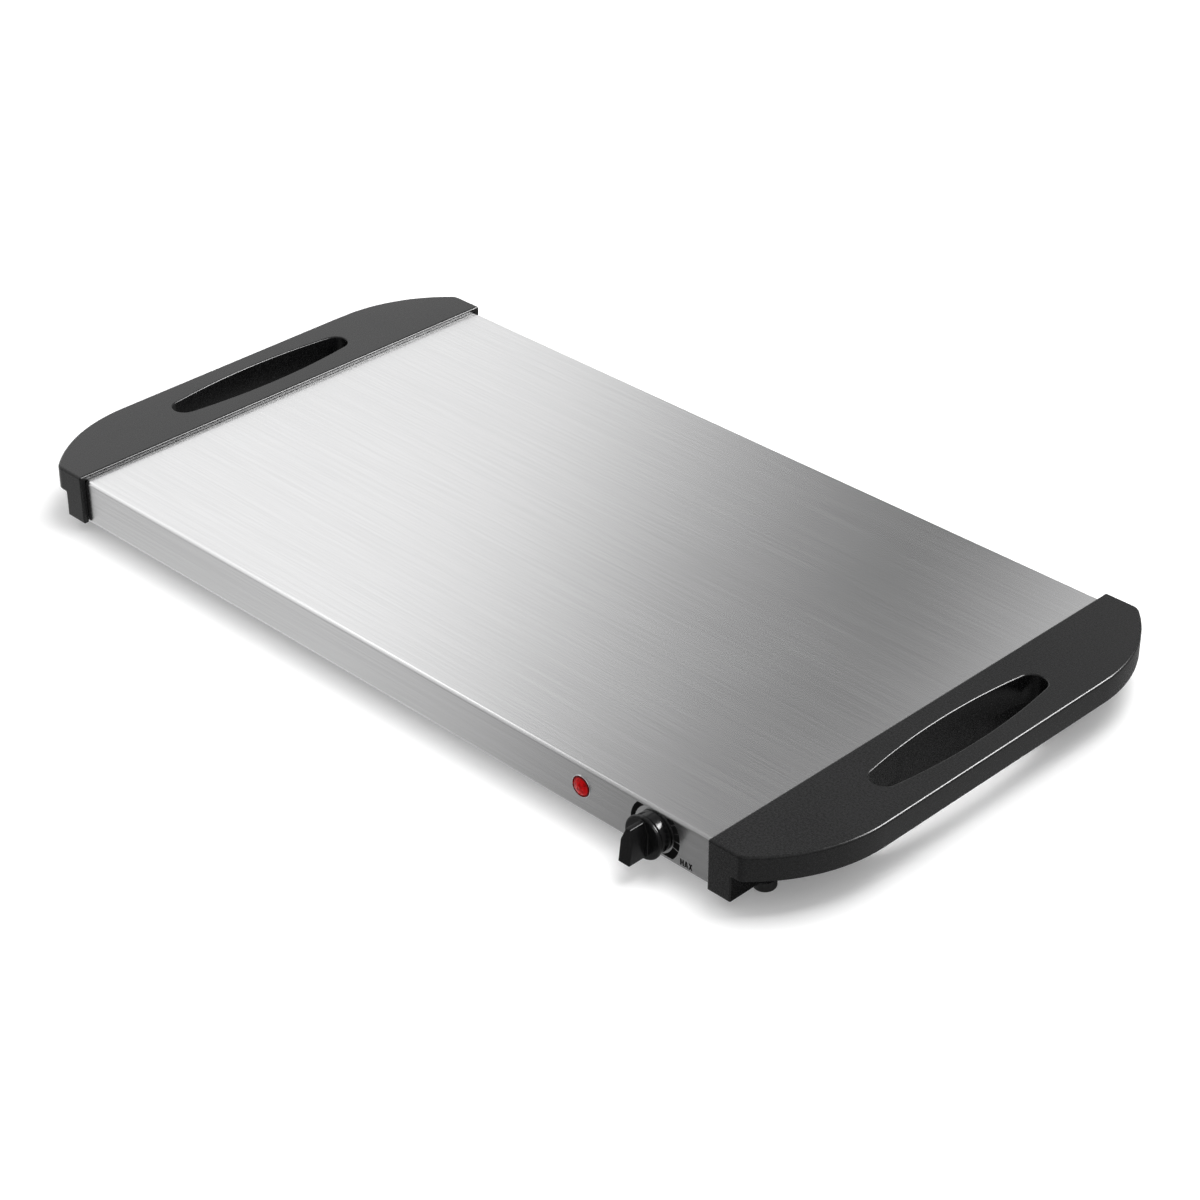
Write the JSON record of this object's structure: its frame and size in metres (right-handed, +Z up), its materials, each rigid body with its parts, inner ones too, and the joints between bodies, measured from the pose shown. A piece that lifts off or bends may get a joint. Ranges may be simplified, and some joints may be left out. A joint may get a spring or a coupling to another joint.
{
  "type": "electric food warmer tray",
  "caption": "Flat electric warming tray: a brushed steel top between two black end handles with finger slots, a pilot lamp and a turning dial knob on the front.",
  "frame": {"origin": "centre of the bounding box on the table surface that the feet stand on", "axes": "+X along the tray to the right, -Y to the front with the knob, +Z up"},
  "size_m": [0.69, 0.3892, 0.0419],
  "materials": {
    "stainless_steel": "fine brushing along the tray",
    "zinc_steel": "bright zinc-plated sheet",
    "handle_plastic": "fine satin texture",
    "knob_plastic": "polished",
    "foot_rubber": "moulded rubber",
    "screw_steel": "plated",
    "brass": "machined",
    "ceramic": "fired, unglazed",
    "red_lens": "clear red moulding",
    "black_nylon": "moulded",
    "aluminium_sheet": "mill finish",
    "element_sheath": "annealed sheath",
    "fibre_board": "pressed mineral fibre",
    "brown_lead": "lead insulation",
    "black_lead": "lead insulation",
    "blue_lead": "lead insulation",
    "green_lead": "lead insulation"
  },
  "bodies": {
    "tray": {"top_plate": "stainless_steel", "base_plate": "zinc_steel", "left_handle": "handle_plastic", "right_handle": "handle_plastic", "front_left_foot": "foot_rubber", "front_right_foot": "foot_rubber", "back_left_foot": "foot_rubber", "back_right_foot": "foot_rubber", "foot_screws": "screw_steel", "handle_screws": "screw_steel", "base_screws": "screw_steel", "control_bushing": "brass", "control_nut": "screw_steel", "control_plate": "zinc_steel", "control_body": "ceramic", "control_tabs": "brass", "lamp_lens": "red_lens", "lamp_ring": "stainless_steel", "lamp_barrel": "black_nylon", "lamp_clip": "screw_steel", "heat_spreader": "aluminium_sheet", "heating_element": "element_sheath", "element_pins": "screw_steel", "element_beads": "ceramic", "left_clip_bar": "zinc_steel", "middle_clip_bar": "zinc_steel", "right_clip_bar": "zinc_steel", "insulation_board": "fibre_board", "reflector_foil": "aluminium_sheet", "thermal_fuse": "ceramic", "fuse_clip": "zinc_steel", "terminal_block": "ceramic", "terminal_screws": "screw_steel", "block_screw": "screw_steel", "earth_stud": "screw_steel", "earth_tag": "brass", "earth_nut": "screw_steel", "cord_gland": "black_nylon", "gland_nut": "black_nylon", "live_lead": "brown_lead", "switched_lead": "black_lead", "fuse_lead": "black_lead", "neutral_lead": "blue_lead", "lamp_live_lead": "black_lead", "lamp_neutral_lead": "blue_lead", "earth_lead": "green_lead"},
    "dial_knob": {"knob": "knob_plastic", "control_shaft": "screw_steel"}
  },
  "joints": [
    {"name": "knob_turn", "type": "hinge", "parent": "tray", "child": "dial_knob", "pos_m": [0.241, -0.1799, 0.02275], "axis": [0, 1, 0], "range_deg": [-150, 150]}
  ]
}
